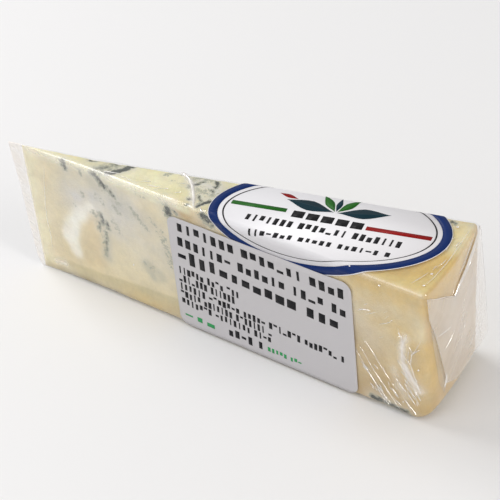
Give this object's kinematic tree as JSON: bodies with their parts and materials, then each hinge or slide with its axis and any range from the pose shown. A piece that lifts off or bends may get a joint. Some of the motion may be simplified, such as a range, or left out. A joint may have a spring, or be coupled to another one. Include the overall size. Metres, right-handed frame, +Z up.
{
  "type": "wrapped gorgonzola wedge",
  "caption": "Long narrow blue cheese wedge sealed in clear film, with an oval paper label folded over the top edges and a rounded label on one cut side.",
  "frame": {"origin": "the middle of the base of the part's box, on the face it rests on", "axes": "+X from the point of the wedge to its rind end, +Y from the labelled cut side to the bare cut side, +Z up"},
  "size_m": [0.145, 0.0344, 0.046],
  "materials": {
    "cheese_in_film": "pale yellow blue-veined cheese under clear glossy film",
    "oval_paper": "white coated paper with a blue rim and plain coloured fields",
    "side_paper": "light grey-white matt thermal paper with plain dark blocks"
  },
  "bodies": {
    "root": {"wrapped_wedge": "cheese_in_film", "oval_label": "oval_paper", "side_label": "side_paper"}
  },
  "joints": []
}
